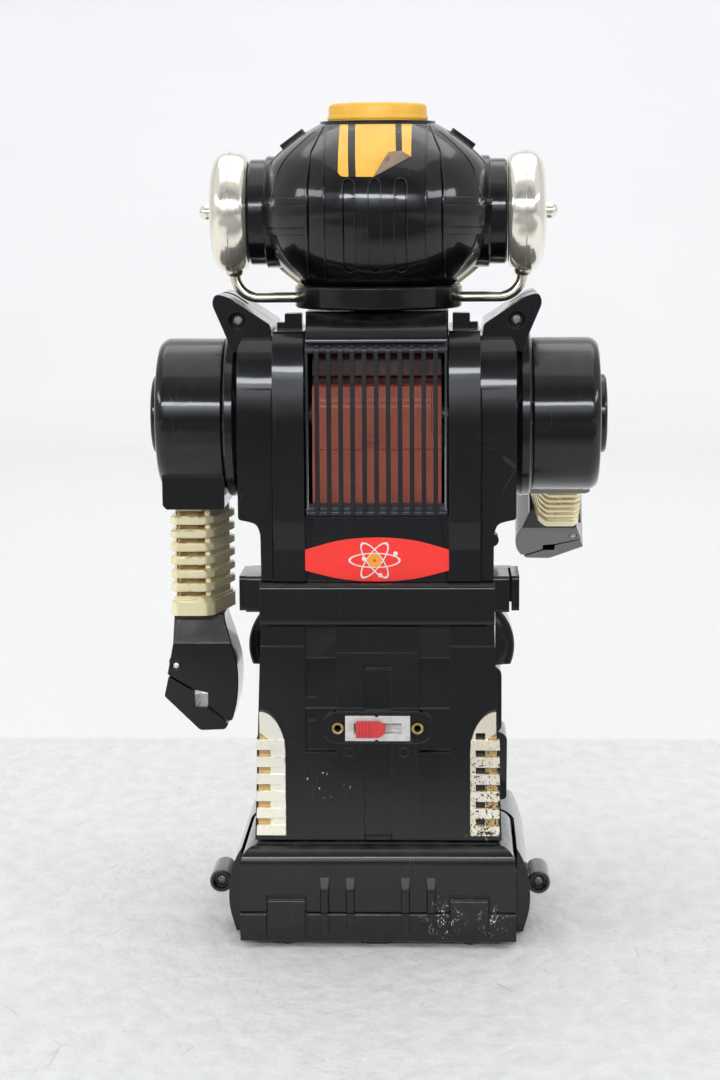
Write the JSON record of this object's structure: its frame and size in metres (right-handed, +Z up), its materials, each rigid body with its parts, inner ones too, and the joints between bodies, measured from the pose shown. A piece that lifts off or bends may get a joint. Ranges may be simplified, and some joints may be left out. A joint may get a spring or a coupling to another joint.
{
  "type": "walking toy robot",
  "caption": "Battery walking toy robot seen standing, one arm raised, with a barrel head, gold ears, ribbed forearms, claw hands, back grille and a battery box for a heel.",
  "frame": {"origin": "on the floor, under the centre of the bounding box", "axes": "+Z up, the robot faces -Y, its left side is on +X"},
  "size_m": [0.176, 0.1627, 0.32],
  "materials": {
    "black_shell": "glossy black moulded shell",
    "pale_gold": "vacuum-metallised pale gold",
    "gold": "vacuum-metallised gold",
    "orange_cap": "satin orange",
    "orange_lens": "clear orange",
    "orange_sticker": "printed sticker",
    "red_label": "printed glossy label",
    "red_knob": "worn red",
    "brown_case": "matt red-brown",
    "steel": "plain plated steel",
    "brass": "plated brass",
    "nylon": "natural nylon",
    "rubber": "black rubber",
    "cell_jacket": "printed steel jacket"
  },
  "bodies": {
    "body": {"torso_rear_shell": "black_shell", "torso_front_shell": "black_shell", "rear_grille": "black_shell", "voice_unit_case": "brown_case", "belt_label": "red_label", "chest_plate": "gold", "shoulder_axle": "steel", "wing_screw_left": "steel", "wing_screw_right": "steel", "leg_rear_shell": "black_shell", "leg_front_shell": "black_shell", "hip_disc_left": "black_shell", "hip_disc_right": "black_shell", "shin_trim_left": "gold", "shin_trim_right": "gold", "switch_plate": "steel", "switch_rivet_left": "brass", "switch_rivet_right": "brass", "battery_case": "black_shell", "cell_front_left": "cell_jacket", "cell_front_right": "cell_jacket", "cell_rear_left": "cell_jacket", "cell_rear_right": "cell_jacket", "battery_contact_left": "steel", "battery_contact_right": "steel", "gearbox_frame": "nylon", "motor": "steel", "head_rear_shell": "black_shell", "face_mask": "gold", "visor_lens": "orange_lens", "neck_ring": "black_shell", "head_sticker": "orange_sticker", "ear_disc_left": "pale_gold", "ear_disc_right": "pale_gold", "ear_tube_left": "pale_gold", "ear_tube_right": "pale_gold"},
    "top_cap": {"top_cap": "orange_cap"},
    "arm_left": {"arm_shell_left": "black_shell", "forearm_left": "gold", "hand_palm_left": "black_shell", "jaw_pin_left": "steel"},
    "arm_right": {"arm_shell_right": "black_shell", "forearm_right": "gold", "hand_palm_right": "black_shell", "jaw_pin_right": "steel"},
    "jaw_left": {"hand_jaw_left": "black_shell"},
    "jaw_right": {"hand_jaw_right": "black_shell"},
    "switch_knob": {"switch_knob": "red_knob"},
    "battery_door": {"battery_door": "black_shell"},
    "rear_roller": {"rear_roller": "rubber"},
    "drive_axle": {"drive_axle": "steel", "axle_gear": "nylon", "drive_wheel_left": "rubber", "drive_wheel_right": "rubber"},
    "idler_gear": {"idler_gear": "nylon"},
    "motor_pinion": {"motor_pinion": "brass"},
    "shoe_left": {"shoe_left": "black_shell", "pod_screw_left": "steel"},
    "shoe_right": {"shoe_right": "black_shell", "pod_screw_right": "steel"}
  },
  "joints": [
    {"name": "shoulder_left", "type": "hinge", "parent": "body", "child": "arm_left", "pos_m": [0.0719, 0.0322, 0.2005], "axis": [-1, 0, 0], "range_deg": [-30, 105]},
    {"name": "shoulder_right", "type": "hinge", "parent": "body", "child": "arm_right", "pos_m": [-0.0719, 0.0322, 0.2005], "axis": [-1, 0, 0], "range_deg": [-90, 45]},
    {"name": "claw_left", "type": "hinge", "parent": "arm_left", "child": "jaw_left", "pos_m": [0.0797, 0.0322, 0.1028], "axis": [0, -1, 0], "range_deg": [0, 20]},
    {"name": "claw_right", "type": "hinge", "parent": "arm_right", "child": "jaw_right", "pos_m": [-0.0797, -0.05241, 0.15165], "axis": [0, 0.5, -0.866], "range_deg": [0, 20]},
    {"name": "head_button", "type": "slide", "parent": "body", "child": "top_cap", "axis": [0, 0, -1], "range_m": [0, 0.0025], "stiffness_N_per_m": 400, "springref_m": -0.002},
    {"name": "power_switch", "type": "slide", "parent": "body", "child": "switch_knob", "axis": [-1, 0, 0], "range_m": [0, 0.0052]},
    {"name": "battery_door_hinge", "type": "hinge", "parent": "body", "child": "battery_door", "pos_m": [0, 0.0229, 0.0043], "axis": [-1, 0, 0], "range_deg": [0, 70]},
    {"name": "rear_roller_spin", "type": "hinge", "parent": "battery_door", "child": "rear_roller", "pos_m": [0, 0.0742, 0.0032], "axis": [1, 0, 0], "continuous": true},
    {"name": "drive_axle_spin", "type": "hinge", "parent": "body", "child": "drive_axle", "pos_m": [0, -0.0158, 0.011], "axis": [1, 0, 0], "continuous": true},
    {"name": "idler_spin", "type": "hinge", "parent": "body", "child": "idler_gear", "pos_m": [0, -0.00661, 0.02019], "axis": [1, 0, 0], "continuous": true},
    {"name": "pinion_spin", "type": "hinge", "parent": "body", "child": "motor_pinion", "pos_m": [0, 0.00788, 0.02407], "axis": [1, 0, 0], "continuous": true},
    {"name": "shoe_left_slide", "type": "slide", "parent": "body", "child": "shoe_left", "axis": [0, -1, 0], "range_m": [-0.005, 0.005]},
    {"name": "shoe_right_slide", "type": "slide", "parent": "body", "child": "shoe_right", "axis": [0, -1, 0], "range_m": [-0.005, 0.005]}
  ],
  "couplings": [
    {"joint": "idler_spin", "follows": "drive_axle_spin", "ratio": -1.6},
    {"joint": "pinion_spin", "follows": "drive_axle_spin", "ratio": 3.2},
    {"joint": "shoe_right_slide", "follows": "shoe_left_slide", "ratio": -1}
  ]
}
